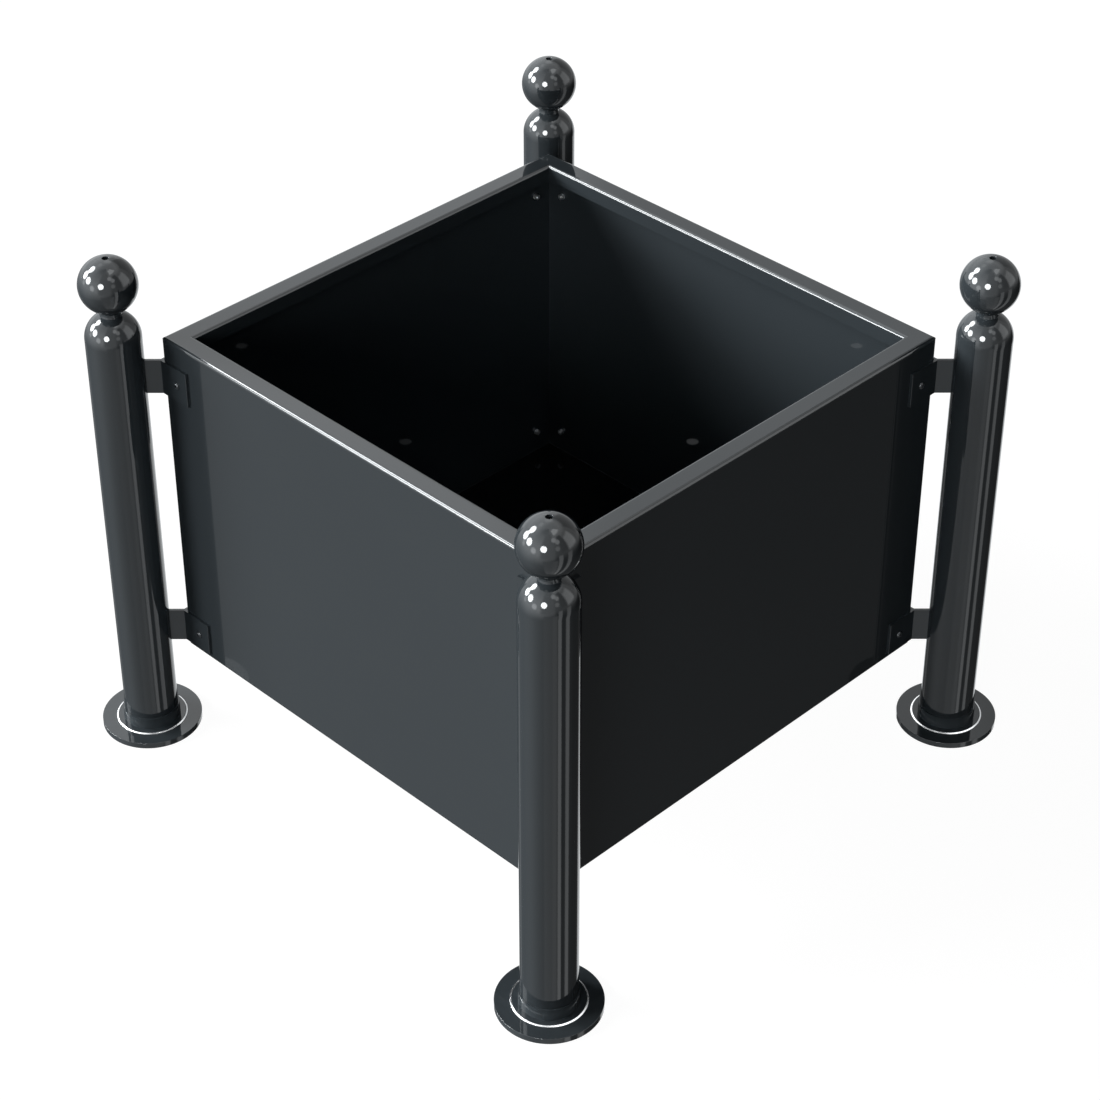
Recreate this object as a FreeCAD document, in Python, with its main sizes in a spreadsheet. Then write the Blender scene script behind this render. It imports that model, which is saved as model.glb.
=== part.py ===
import FreeCAD, Part
import math
import os

import Sketcher

# Square planter: a folded sheet steel box held between four round posts.
# The origin is on the ground at the centre of the box, +Z is up, and the box
# sides run along X and Y. All sizes are in millimetres.

# Driving dimensions, one name each. They fill the sheet that the model is bound to.
SIZES = {
    # Box
    "box_side": 722.4,
    "box_height": 514.2,
    "ground_clearance": 133.8,
    "sheet_thickness": 2.0,
    "bend_radius": 3.0,
    "corner_radius": 3.0,
    "rim_width": 31.0,
    "lip_depth": 23.5,
    "floor_flange": 25.0,
    # Floor sheet and the channels below it
    "floor_gap": 0.3,
    "drain_diameter": 20.0,
    "drain_spacing": 400.0,
    "channel_width": 50.0,
    "channel_height": 20.0,
    "channel_spacing": 220.0,
    # Posts
    "tube_diameter": 76.1,
    "tube_wall": 2.9,
    # Foot flange
    "foot_rim_width": 19.85,
    "foot_thickness": 8.7,
    "foot_edge_radius": 0.4,
    "foot_hub_width": 7.85,
    "foot_hub_rise": 1.3,
    "foot_collar_height": 28.0,
    "foot_collar_wall": 2.2,
    "foot_floor": 5.0,
    "foot_socket_gap": 0.1,
    # Ring let into the foot flange, between its hub and its rim
    "ring_width": 3.2,
    "ring_depth": 3.5,
    "ring_gap": 0.1,
    # Post cap
    "cap_spigot_length": 25.0,
    "cap_spigot_gap": 0.15,
    "cap_wall": 3.0,
    "cap_boss_diameter": 24.0,
    "cap_boss_height": 14.0,
    # Ball finial
    "ball_diameter": 80.0,
    "neck_foot_diameter": 30.0,
    "neck_waist_diameter": 29.0,
    "neck_top_diameter": 31.0,
    "neck_height": 8.0,
    "top_hole_diameter": 9.0,
    "top_hole_depth": 20.0,
    "top_hole_chamfer": 0.3,
    # Stud from the cap into the ball
    "stud_diameter": 10.0,
    "stud_gap": 0.1,
    "stud_reach": 28.0,
    "stud_chamfer": 1.0,
    # Corner brackets
    "bracket_thickness": 4.0,
    "bracket_reach": 50.0,
    "bracket_height": 51.5,
    "bracket_root_radius": 2.0,
    "bracket_edge_radius": 0.6,
    "upper_bracket_drop": 61.5,
    "lower_bracket_rise": 35.7,
    "tab_thickness": 4.0,
    "tab_reach": 19.65,
    # Fasteners
    "bolt_inset": 30.0,
    "bolt_diameter": 5.0,
    "bolt_length": 12.0,
    "bolt_hole_gap": 0.3,
    "thread_gap": 0.05,
    "head_diameter": 9.5,
    "head_height": 2.75,
    "head_land": 0.5,
    "key_width": 3.0,
    "key_depth": 1.6,
    "washer_diameter": 9.0,
    "washer_thickness": 1.0,
    "washer_hole_gap": 0.2,
    "nut_width": 8.0,
    "nut_height": 4.0,
    # One overrun for every cut that leaves the material
    "overrun": 5.0,
}

CORNERS = ("back_right", "back_left", "front_left", "front_right")
SIDES = ("right", "back", "left", "front")
QUARTER_TURN = 90.0
EIGHTH_TURN = 45.0
FULL_TURN = 360.0
Z_AXIS = FreeCAD.Vector(0, 0, 1)

# Where the neck's taper and its straight waist end, as shares of its height
NECK_TAPER_SHARE = 1 / 3
NECK_STRAIGHT_SHARE = 1 / 2

# A nut and a key socket have six sides
HEX_SIDES = 6

# Decimal places to which a place or a cosine is rounded, so that equal ones match
PLACE_DIGITS = 3
COSINE_DIGITS = 9

# A circle's centre, as a sketch numbers the points of a shape
CENTRE = 3


class Size:
    """A length that knows both its value and the expression that binds to the sheet."""

    def __init__(self, value, text):
        self.value = value
        self.text = text

    def _join(self, other, sign, value):
        return Size(value, f"({self.text} {sign} {as_size(other).text})")

    def __add__(self, other):
        return self._join(other, "+", self.value + as_size(other).value)

    def __sub__(self, other):
        return self._join(other, "-", self.value - as_size(other).value)

    def __mul__(self, other):
        return self._join(other, "*", self.value * as_size(other).value)

    def __truediv__(self, other):
        return self._join(other, "/", self.value / as_size(other).value)

    def __neg__(self):
        return Size(-self.value, f"(0 - {self.text})")


def as_size(number):
    """Wrap a plain number so that it can stand in an expression."""
    return number if isinstance(number, Size) else Size(float(number), repr(number))


def root(size):
    """Square root of a size."""
    return Size(math.sqrt(size.value), f"sqrt({size.text})")


def leg(hypotenuse, other_leg):
    """The second short side of a right-angled triangle."""
    return root(hypotenuse * hypotenuse - other_leg * other_leg)


def fill_sheet(document):
    """Write every driving dimension into the sheet and hand each back as a Size."""
    sheet = document.addObject("Spreadsheet::Sheet", "Sizes")
    sizes = {}
    for row, (alias, value) in enumerate(SIZES.items(), start=1):
        sheet.set(f"A{row}", alias)
        sheet.set(f"B{row}", str(value))
        sheet.setAlias(f"B{row}", alias)
        sizes[alias] = Size(value, f"Sizes.{alias}")
    document.recompute()
    return sizes


doc = FreeCAD.newDocument("square_planter")
size = fill_sheet(doc)

# Levels and distances that several pieces share
half_side = size["box_side"] / 2
box_top = size["ground_clearance"] + size["box_height"]
outer_bend = size["bend_radius"] + size["sheet_thickness"]
floor_level = size["ground_clearance"] + size["sheet_thickness"]
tube_radius = size["tube_diameter"] / 2
ball_radius = size["ball_diameter"] / 2
neck_seat = leg(tube_radius, size["neck_foot_diameter"] / 2)
upper_bracket_level = box_top - size["upper_bracket_drop"]
lower_bracket_level = size["ground_clearance"] + size["lower_bracket_rise"]
bracket_levels = {"upper": upper_bracket_level, "lower": lower_bracket_level}
bracket_face = half_side + size["bracket_thickness"]
bracket_apex = bracket_face * math.sqrt(2)
post_distance = bracket_apex + size["tab_reach"] + tube_radius
half_pitch = post_distance / math.sqrt(2)
bolt_radius = size["bolt_diameter"] / 2
bolt_hole_radius = bolt_radius + size["bolt_hole_gap"]
bolt_place = half_side - size["bolt_inset"]

# The foot flange's circles, from its socket outwards
socket_radius = tube_radius + size["foot_socket_gap"]
collar_radius = socket_radius + size["foot_collar_wall"]
ring_inside = collar_radius + size["foot_hub_width"]
ring_outside = ring_inside + size["ring_width"]
foot_radius = ring_outside + size["foot_rim_width"]
hub_level = size["foot_thickness"] + size["foot_hub_rise"]
ring_bottom = size["foot_thickness"] - size["ring_depth"]


# Helpers for bodies and sketches

def new_body(name):
    """A named body, kept under the same label."""
    body = doc.addObject("PartDesign::Body", name)
    body.Label = name
    return body


def new_sketch(body, plane, name):
    """A sketch on one of the body's own origin planes."""
    sketch = body.newObject("Sketcher::SketchObject", f"{body.Name}_{name}")
    planes = {feature.Role: feature for feature in body.Origin.OriginFeatures}
    sketch.AttachmentSupport = (planes[plane], [""])
    sketch.MapMode = "FlatFace"
    return sketch


def bind(sketch, kind, arguments, length):
    """Add a dimension to a sketch and tie it to the sheet."""
    index = sketch.addConstraint(Sketcher.Constraint(kind, *arguments, length.value))
    sketch.setExpression(f"Constraints[{index}]", length.text)


def to(across, up):
    """A straight run of an outline, up to a corner."""
    return {"end": (as_size(across), as_size(up)), "radius": None}


def bend(across, up, radius, hollow=False):
    """A round stretch of an outline, up to a corner. Hollow ones turn clockwise."""
    return {"end": (as_size(across), as_size(up)), "radius": as_size(radius), "hollow": hollow}


def vector(point):
    """The place of an outline's corner."""
    return FreeCAD.Vector(point[0].value, point[1].value, 0)


def arc_between(start, end, radius, hollow):
    """The shorter arc of one radius between two points, seen anticlockwise unless hollow."""
    chord = end - start
    middle = (start + end) / 2
    sideways = FreeCAD.Vector(-chord.y, chord.x, 0).normalize()
    rise = math.sqrt(max(radius ** 2 - (chord.Length / 2) ** 2, 0.0))
    centre = middle - sideways * rise if hollow else middle + sideways * rise
    first, last = (end, start) if hollow else (start, end)
    circle = Part.Circle(centre, Z_AXIS, radius)
    return Part.ArcOfCircle(circle, circle.parameter(first), circle.parameter(last))


def draw_outline(sketch, steps):
    """Draw a closed outline whose corners are all dimensioned from the origin.

    Steps run anticlockwise round the material, and each names the corner where it ends.
    """
    offset = sketch.GeometryCount
    ends = [step["end"] for step in steps]
    for number, step in enumerate(steps):
        start = vector(ends[number - 1])
        end = vector(ends[number])
        if step["radius"] is None:
            sketch.addGeometry(Part.LineSegment(start, end))
        else:
            sketch.addGeometry(arc_between(start, end, step["radius"].value, step["hollow"]))
    for number, step in enumerate(steps):
        following = (number + 1) % len(steps)
        ending = 1 if step["radius"] and step["hollow"] else 2
        beginning = 2 if steps[following]["radius"] and steps[following]["hollow"] else 1
        here = (offset + number, ending)
        there = (offset + following, beginning)
        sketch.addConstraint(Sketcher.Constraint("Coincident", *here, *there))
        bind(sketch, "DistanceX", (-1, 1) + here, step["end"][0])
        bind(sketch, "DistanceY", (-1, 1) + here, step["end"][1])
        if step["radius"]:
            bind(sketch, "Radius", (offset + number,), step["radius"])


def draw_circle(sketch, across, up, radius):
    """Draw a circle whose centre and radius are dimensioned."""
    centre = FreeCAD.Vector(across.value, up.value, 0)
    index = sketch.addGeometry(Part.Circle(centre, Z_AXIS, radius.value))
    bind(sketch, "DistanceX", (-1, 1, index, CENTRE), across)
    bind(sketch, "DistanceY", (-1, 1, index, CENTRE), up)
    bind(sketch, "Radius", (index,), radius)


def add_pad(body, sketch, length, symmetric=False):
    """Raise a sketch into a solid."""
    pad = body.newObject("PartDesign::Pad", f"{sketch.Name}_pad")
    pad.Profile = sketch
    pad.SideType = "Symmetric" if symmetric else "One side"
    pad.setExpression("Length", length.text)
    return pad


def add_cut(body, sketch):
    """Cut a sketch right through the body, both ways, and make sure that it removed something."""
    doc.recompute()
    before = body.Shape.Volume
    cut = body.newObject("PartDesign::Pocket", f"{sketch.Name}_cut")
    cut.Profile = sketch
    cut.SideType = "Symmetric"
    cut.Type = "ThroughAll"
    doc.recompute()
    if body.Shape.Volume >= before:
        raise RuntimeError(f"{cut.Name} removes nothing")
    return cut


def add_turned(body, steps):
    """Turn an outline of radius and height about the body's upright axis."""
    sketch = new_sketch(body, "XZ_Plane", "profile")
    draw_outline(sketch, steps)
    turned = body.newObject("PartDesign::Revolution", f"{body.Name}_turned")
    turned.Profile = sketch
    turned.ReferenceAxis = (sketch, ["V_Axis"])
    turned.Angle = FULL_TURN
    return turned


def place_at_post(body, quarter, height):
    """Stand a body on the axis of one post."""
    angle = math.radians(EIGHTH_TURN + QUARTER_TURN * quarter)
    across = math.copysign(1, math.cos(angle))
    along = math.copysign(1, math.sin(angle))
    body.setExpression("Placement.Base.x", (half_pitch * across).text)
    body.setExpression("Placement.Base.y", (half_pitch * along).text)
    body.setExpression("Placement.Base.z", as_size(height).text)


def turn_about_centre(body, angle, height=None):
    """Turn a body about the upright axis of the planter, and raise it if asked."""
    rotation = FreeCAD.Rotation(Z_AXIS, angle)
    body.Placement = FreeCAD.Placement(FreeCAD.Vector(0, 0, 0), rotation)
    if height is not None:
        body.setExpression("Placement.Base.z", height.text)


# Box

def fold_outline():
    """The section of a side panel: floor flange, wall, rim and lip, as one folded sheet.

    It is drawn for the side that faces +X, as distance from the centre and height.
    """
    base = size["ground_clearance"]
    thickness = size["sheet_thickness"]
    outside = half_side
    inside = half_side - thickness
    lip_face = half_side - size["rim_width"]
    lip_end = box_top - size["lip_depth"]
    return [
        to(outside - outer_bend, base),
        bend(outside, base + outer_bend, outer_bend),
        to(outside, box_top - outer_bend),
        bend(outside - outer_bend, box_top, outer_bend),
        to(lip_face + outer_bend, box_top),
        bend(lip_face, box_top - outer_bend, outer_bend),
        to(lip_face, lip_end),
        to(lip_face + thickness, lip_end),
        to(lip_face + thickness, box_top - outer_bend),
        bend(lip_face + outer_bend, box_top - thickness, size["bend_radius"], hollow=True),
        to(outside - outer_bend, box_top - thickness),
        bend(inside, box_top - outer_bend, size["bend_radius"], hollow=True),
        to(inside, base + outer_bend),
        bend(outside - outer_bend, base + thickness, size["bend_radius"], hollow=True),
        to(outside - size["floor_flange"], base + thickness),
        to(outside - size["floor_flange"], base),
    ]


def mitre_outline(end):
    """What is cut off one end of a panel: beyond the mitre and outside the rounded corner."""
    reach = size["rim_width"] + size["overrun"]
    radius = size["corner_radius"]
    beyond = half_side + size["overrun"]
    middle = half_side - radius + radius / math.sqrt(2)
    steps = [
        to(half_side - reach, half_side - reach),
        to(middle, middle),
        bend(half_side, half_side - radius, radius, hollow=True),
        to(beyond, half_side - radius),
        to(beyond, beyond),
        to(half_side - reach, beyond),
    ]
    if end > 0:
        return steps
    mirrored = []
    for number, step in enumerate(steps):
        across, along = steps[number - 1]["end"]
        mirrored.append({**step, "end": (across, -along)})
    return mirrored[::-1]


def make_panel(side, quarter):
    """One side of the box, mitred to its neighbours and drilled for the bracket bolts."""
    body = new_body(f"panel_{side}")
    section = new_sketch(body, "XZ_Plane", "section")
    draw_outline(section, fold_outline())
    add_pad(body, section, size["box_side"], symmetric=True)
    mitres = new_sketch(body, "XY_Plane", "mitres")
    for end in (1, -1):
        draw_outline(mitres, mitre_outline(end))
    add_cut(body, mitres)
    holes = new_sketch(body, "YZ_Plane", "holes")
    for level in bracket_levels.values():
        for along in (bolt_place, -bolt_place):
            draw_circle(holes, along, level, bolt_hole_radius)
    add_cut(body, holes)
    turn_about_centre(body, QUARTER_TURN * quarter)
    return body


def make_floor():
    """The floor sheet, which lies on the flanges of the four panels, with its drain holes."""
    body = new_body("floor_sheet")
    edge = half_side - outer_bend - size["floor_gap"]
    plate = new_sketch(body, "XY_Plane", "plate")
    draw_outline(plate, [to(edge, -edge), to(edge, edge), to(-edge, edge), to(-edge, -edge)])
    add_pad(body, plate, size["sheet_thickness"])
    drains = new_sketch(body, "XY_Plane", "drains")
    draw_circle(drains, as_size(0), as_size(0), size["drain_diameter"] / 2)
    away = size["drain_spacing"] / 2
    for across in (away, -away):
        for along in (away, -away):
            draw_circle(drains, across, along, size["drain_diameter"] / 2)
    add_cut(body, drains)
    body.setExpression("Placement.Base.z", floor_level.text)
    return body


def make_channel(place, across):
    """A channel below the floor sheet, between the floor flanges of two sides."""
    body = new_body(f"floor_channel_{place}")
    half_width = size["channel_width"] / 2
    thickness = size["sheet_thickness"]
    bottom = -size["channel_height"]
    length = size["box_side"] - (size["floor_flange"] + size["floor_gap"]) * 2
    section = new_sketch(body, "YZ_Plane", "section")
    draw_outline(section, [
        to(half_width - outer_bend, bottom),
        bend(half_width, bottom + outer_bend, outer_bend),
        to(half_width, 0),
        to(half_width - thickness, 0),
        to(half_width - thickness, bottom + outer_bend),
        bend(half_width - outer_bend, bottom + thickness, size["bend_radius"], hollow=True),
        to(outer_bend - half_width, bottom + thickness),
        bend(thickness - half_width, bottom + outer_bend, size["bend_radius"], hollow=True),
        to(thickness - half_width, 0),
        to(-half_width, 0),
        to(-half_width, bottom + outer_bend),
        bend(outer_bend - half_width, bottom, outer_bend),
    ])
    add_pad(body, section, length, symmetric=True)
    body.setExpression("Placement.Base.y", (size["channel_spacing"] / 2 * across).text)
    body.setExpression("Placement.Base.z", floor_level.text)
    return body


# Posts

def make_tube(corner, quarter):
    """A post tube, from the floor of its foot up to the level of the box rim."""
    body = new_body(f"post_{corner}")
    section = new_sketch(body, "XY_Plane", "section")
    draw_circle(section, as_size(0), as_size(0), tube_radius)
    draw_circle(section, as_size(0), as_size(0), tube_radius - size["tube_wall"])
    add_pad(body, section, box_top - size["foot_floor"])
    place_at_post(body, quarter, size["foot_floor"])
    return body


def make_foot(corner, quarter):
    """A foot flange: a round plate with a raised centre, a ring groove and a socket."""
    body = new_body(f"foot_{corner}")
    edge = size["foot_edge_radius"]
    top = size["foot_thickness"]
    collar_top = size["foot_collar_height"]
    groove_outside = ring_outside + size["ring_gap"]
    groove_inside = ring_inside - size["ring_gap"]
    add_turned(body, [
        to(0, 0),
        to(foot_radius, 0),
        to(foot_radius, top - edge),
        bend(foot_radius - edge, top, edge),
        to(groove_outside, top),
        to(groove_outside, ring_bottom),
        to(groove_inside, ring_bottom),
        to(groove_inside, hub_level),
        to(collar_radius, hub_level),
        to(collar_radius, collar_top),
        to(socket_radius, collar_top),
        to(socket_radius, size["foot_floor"]),
        to(0, size["foot_floor"]),
    ])
    place_at_post(body, quarter, 0)
    return body


def make_ring(corner, quarter):
    """The bright ring in the foot's groove, whose top slopes from the hub to the rim."""
    body = new_body(f"foot_ring_{corner}")
    add_turned(body, [
        to(ring_inside, ring_bottom),
        to(ring_outside, ring_bottom),
        to(ring_outside, size["foot_thickness"]),
        to(ring_inside, hub_level),
    ])
    place_at_post(body, quarter, 0)
    return body


def make_cap(corner, quarter):
    """A domed cap: its spigot fills the tube, and a boss inside carries the stud.

    Heights count from the tube's end, which is also the level of the dome's centre.
    """
    body = new_body(f"post_cap_{corner}")
    seat = size["neck_foot_diameter"] / 2
    spigot = tube_radius - size["tube_wall"] - size["cap_spigot_gap"]
    inside = spigot - size["cap_wall"]
    boss = size["cap_boss_diameter"] / 2
    boss_end = neck_seat - size["cap_boss_height"]
    thread = size["stud_diameter"] / 2 + size["stud_gap"]
    add_turned(body, [
        to(spigot, -size["cap_spigot_length"]),
        to(spigot, 0),
        to(tube_radius, 0),
        bend(seat, neck_seat, tube_radius),
        to(thread, neck_seat),
        to(thread, boss_end),
        to(boss, boss_end),
        to(boss, leg(inside, boss)),
        bend(inside, 0, inside, hollow=True),
        to(inside, -size["cap_spigot_length"]),
    ])
    place_at_post(body, quarter, box_top)
    return body


def make_ball(corner, quarter):
    """A ball finial with its waisted neck, drilled for the stud and tapped at the top.

    Heights count from the neck's flat foot, which stands on the cap.
    """
    body = new_body(f"ball_finial_{corner}")
    foot = size["neck_foot_diameter"] / 2
    waist = size["neck_waist_diameter"] / 2
    neck_top = size["neck_top_diameter"] / 2
    join = size["neck_height"]
    centre = join + leg(ball_radius, neck_top)
    taper_end = join * NECK_TAPER_SHARE
    straight_end = join * NECK_STRAIGHT_SHARE
    cove = (neck_top - waist) * 2 + straight_end
    thread = size["stud_diameter"] / 2 + size["stud_gap"]
    bore = size["top_hole_diameter"] / 2
    mouth = bore + size["top_hole_chamfer"]
    mouth_level = centre + leg(ball_radius, mouth)
    bore_end = mouth_level - size["top_hole_depth"]
    add_turned(body, [
        to(foot, 0),
        to(waist, taper_end),
        to(waist, straight_end),
        bend(neck_top, join, cove, hollow=True),
        bend(ball_radius, centre, ball_radius),
        bend(mouth, mouth_level, ball_radius),
        to(bore, mouth_level - size["top_hole_chamfer"]),
        to(bore, bore_end),
        to(0, bore_end - bore),
        to(0, size["stud_reach"] + thread),
        to(thread, size["stud_reach"]),
        to(thread, 0),
    ])
    place_at_post(body, quarter, box_top + neck_seat)
    return body


# Brackets

def make_bracket(storey, level, corner, quarter):
    """An angle of thick plate round a box corner, drilled for one bolt in each leg."""
    body = new_body(f"bracket_{storey}_{corner}")
    end = half_side - size["bracket_reach"]
    root_radius = size["bracket_root_radius"]
    section = new_sketch(body, "XY_Plane", "section")
    draw_outline(section, [
        to(half_side, end),
        to(bracket_face, end),
        to(bracket_face, bracket_face),
        to(end, bracket_face),
        to(end, half_side),
        to(half_side - root_radius, half_side),
        bend(half_side, half_side - root_radius, root_radius, hollow=True),
    ])
    add_pad(body, section, size["bracket_height"], symmetric=True)
    for plane in ("XZ_Plane", "YZ_Plane"):
        hole = new_sketch(body, plane, f"hole_{plane[0].lower()}")
        draw_circle(hole, bolt_place, as_size(0), bolt_hole_radius)
        add_cut(body, hole)
    doc.recompute()
    round_outer_edges(body)
    turn_about_centre(body, QUARTER_TURN * quarter, level)
    return body


def round_outer_edges(body):
    """Ease the two free ends of a bracket's legs, on the outer face."""
    drilled = body.Tip
    face = bracket_face.value
    end = (half_side - size["bracket_reach"]).value
    names = []
    for number, edge in enumerate(drilled.Shape.Edges, start=1):
        middle = edge.CenterOfMass
        spot = {round(middle.x, PLACE_DIGITS), round(middle.y, PLACE_DIGITS)}
        if spot == {round(face, PLACE_DIGITS), round(end, PLACE_DIGITS)}:
            names.append(f"Edge{number}")
    fillet = body.newObject("PartDesign::Fillet", f"{body.Name}_eased")
    fillet.Base = (drilled, names)
    fillet.setExpression("Radius", size["bracket_edge_radius"].text)


def make_tab(storey, level, corner, quarter):
    """The upright plate from a bracket's apex out to its post, on the diagonal."""
    body = new_body(f"tab_{storey}_{corner}")
    half_thickness = size["tab_thickness"] / 2
    post_face = post_distance - leg(tube_radius, half_thickness)
    section = new_sketch(body, "XY_Plane", "section")
    draw_outline(section, [
        to(bracket_apex, 0),
        to(bracket_apex - half_thickness, -half_thickness),
        to(post_face, -half_thickness),
        bend(post_face, half_thickness, tube_radius, hollow=True),
        to(bracket_apex - half_thickness, half_thickness),
    ])
    add_pad(body, section, size["bracket_height"], symmetric=True)
    turn_about_centre(body, EIGHTH_TURN + QUARTER_TURN * quarter, level)
    return body


# Fasteners: one of each kind is made, and copies of it are grouped under one name

def make_bolt():
    """A button-head bolt along Z, its head seated at height zero, with a six-sided socket."""
    body = new_body("bolt_pattern_piece")
    shank = bolt_radius - size["thread_gap"]
    head = size["head_diameter"] / 2
    flat = size["key_width"] / math.sqrt(3) + size["head_land"]
    height = size["head_height"]
    spread = head - flat
    dome = (spread * spread + height * height) / (height * 2)
    add_turned(body, [
        to(0, -size["bolt_length"]),
        to(shank, -size["bolt_length"]),
        to(shank, 0),
        to(head, 0),
        bend(flat, height, dome),
        to(0, height),
    ])
    doc.recompute()
    cut_socket(body)
    return body


def cut_socket(body):
    """Cut the key socket into the bolt's head."""
    socket = new_sketch(body, "XY_Plane", "socket")
    draw_outline(socket, hexagon(size["key_width"]))
    socket.setExpression("AttachmentOffset.Base.z", size["head_height"].text)
    cut = body.newObject("PartDesign::Pocket", f"{body.Name}_key")
    cut.Profile = socket
    cut.setExpression("Length", size["key_depth"].text)


def hexagon(width):
    """A six-sided outline, from its width across the flats."""
    corner = width / math.sqrt(3)
    steps = []
    for number in range(HEX_SIDES):
        angle = math.radians(FULL_TURN / HEX_SIDES * number)
        across = round(math.cos(angle), COSINE_DIGITS)
        up = round(math.sin(angle), COSINE_DIGITS)
        steps.append(to(corner * across, corner * up))
    return steps


def make_washer():
    """A flat washer, on the inner face of the sheet."""
    body = new_body("washer_pattern_piece")
    section = new_sketch(body, "XY_Plane", "section")
    draw_circle(section, as_size(0), as_size(0), size["washer_diameter"] / 2)
    draw_circle(section, as_size(0), as_size(0), bolt_radius + size["washer_hole_gap"])
    add_pad(body, section, size["washer_thickness"])
    return body


def make_nut():
    """A six-sided nut, behind the washer."""
    body = new_body("nut_pattern_piece")
    section = new_sketch(body, "XY_Plane", "section")
    draw_outline(section, hexagon(size["nut_width"]))
    draw_circle(section, as_size(0), as_size(0), bolt_radius)
    add_pad(body, section, size["nut_height"])
    return body


def make_stud():
    """A threaded stud with chamfered ends, its middle at the neck's foot."""
    body = new_body("stud_pattern_piece")
    radius = size["stud_diameter"] / 2
    chamfer = size["stud_chamfer"]
    bottom = -size["cap_boss_height"]
    top = size["stud_reach"]
    add_turned(body, [
        to(0, bottom),
        to(radius - chamfer, bottom),
        to(radius, bottom + chamfer),
        to(radius, top - chamfer),
        to(radius - chamfer, top),
        to(0, top),
    ])
    return body


def group_copies(name, body, places):
    """Put copies of one piece at several places, as separate solids under one name."""
    doc.recompute()
    copies = []
    for place in places:
        copy = body.Shape.copy()
        copy.Placement = place
        copies.append(copy)
    group = doc.addObject("Part::Feature", name)
    group.Label = name
    group.Shape = Part.makeCompound(copies)
    return group


def bolt_places(distance):
    """Every bolt axis, pointing out of the box, with its origin at a distance from the centre."""
    places = []
    for quarter in range(len(SIDES)):
        turn = FreeCAD.Placement(FreeCAD.Vector(0, 0, 0), FreeCAD.Rotation(Z_AXIS, QUARTER_TURN * quarter))
        outwards = FreeCAD.Rotation(Z_AXIS, FreeCAD.Vector(1, 0, 0))
        for level in bracket_levels.values():
            for along in (bolt_place.value, -bolt_place.value):
                spot = FreeCAD.Vector(distance.value, along, level.value)
                places.append(turn.multiply(FreeCAD.Placement(spot, outwards)))
    return places


def make_fasteners():
    """All bolts, washers, nuts and studs, each kind as one group."""
    inner_face = half_side - size["sheet_thickness"]
    washer_back = inner_face - size["washer_thickness"]
    nut_back = washer_back - size["nut_height"]
    stud_places = []
    for across in (half_pitch.value, -half_pitch.value):
        for along in (half_pitch.value, -half_pitch.value):
            spot = FreeCAD.Vector(across, along, (box_top + neck_seat).value)
            stud_places.append(FreeCAD.Placement(spot, FreeCAD.Rotation()))
    return [
        group_copies("bracket_bolts", make_bolt(), bolt_places(bracket_face)),
        group_copies("bolt_washers", make_washer(), bolt_places(washer_back)),
        group_copies("bolt_nuts", make_nut(), bolt_places(nut_back)),
        group_copies("finial_studs", make_stud(), stud_places),
    ]


def make_all():
    """Every sub-part of the planter, in the order of its assembly."""
    pieces = []
    for quarter, side in enumerate(SIDES):
        pieces.append(make_panel(side, quarter))
    pieces.append(make_floor())
    pieces.append(make_channel("front", -1))
    pieces.append(make_channel("back", 1))
    for quarter, corner in enumerate(CORNERS):
        pieces.append(make_foot(corner, quarter))
        pieces.append(make_ring(corner, quarter))
        pieces.append(make_tube(corner, quarter))
        pieces.append(make_cap(corner, quarter))
        pieces.append(make_ball(corner, quarter))
        for storey, level in bracket_levels.items():
            pieces.append(make_bracket(storey, level, corner, quarter))
            pieces.append(make_tab(storey, level, corner, quarter))
    pieces.extend(make_fasteners())
    return pieces


def check(pieces):
    """Stop if any object failed to build, or a sub-part has no sound shape."""
    for item in doc.Objects:
        if "Invalid" in item.State or "Error" in item.State:
            raise RuntimeError(f"{item.Name} failed to build")
    for piece in pieces:
        if piece.Shape.isNull() or not piece.Shape.isValid():
            raise RuntimeError(f"{piece.Label} has no sound shape")


def write(pieces):
    """Write each sub-part to a file under its own name."""
    os.makedirs("parts", exist_ok=True)
    for piece in pieces:
        piece.Shape.exportStep(os.path.join("parts", f"{piece.Label}.step"))
        box = piece.Shape.BoundBox
        print(f"{piece.Label}: {len(piece.Shape.Solids)} solids, {piece.Shape.Volume:.0f} mm3, "
              f"x {box.XMin:.1f} to {box.XMax:.1f}, z {box.ZMin:.1f} to {box.ZMax:.1f}")


parts_list = make_all()
doc.recompute()
check(parts_list)
write(parts_list)
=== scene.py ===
"""Square planter with four ball-topped posts: its finishes, its fasteners, the studio and the camera.

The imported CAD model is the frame. This script dresses its nodes in gloss paint, zinc and turned
steel, models the bolts and nuts in full, and sets up the light and the camera of the photograph.
Lengths are in metres. X and Y run along the sides of the box, and Z is up.
"""

import logging
import math
from dataclasses import dataclass
from enum import Enum
from typing import Callable, Iterable, Optional, Sequence, Union

import bmesh
import bpy
from mathutils import Matrix, Vector


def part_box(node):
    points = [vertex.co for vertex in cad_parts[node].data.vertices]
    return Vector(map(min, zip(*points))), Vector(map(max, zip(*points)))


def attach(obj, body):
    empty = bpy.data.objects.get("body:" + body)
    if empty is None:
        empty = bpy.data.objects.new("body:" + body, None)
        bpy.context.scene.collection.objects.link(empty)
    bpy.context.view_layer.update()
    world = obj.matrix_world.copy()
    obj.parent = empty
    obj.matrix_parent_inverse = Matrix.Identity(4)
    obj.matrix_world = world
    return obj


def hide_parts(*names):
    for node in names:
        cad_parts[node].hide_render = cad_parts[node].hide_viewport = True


logging.basicConfig(level=logging.INFO, format="%(message)s")
log = logging.getLogger("planter")

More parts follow.
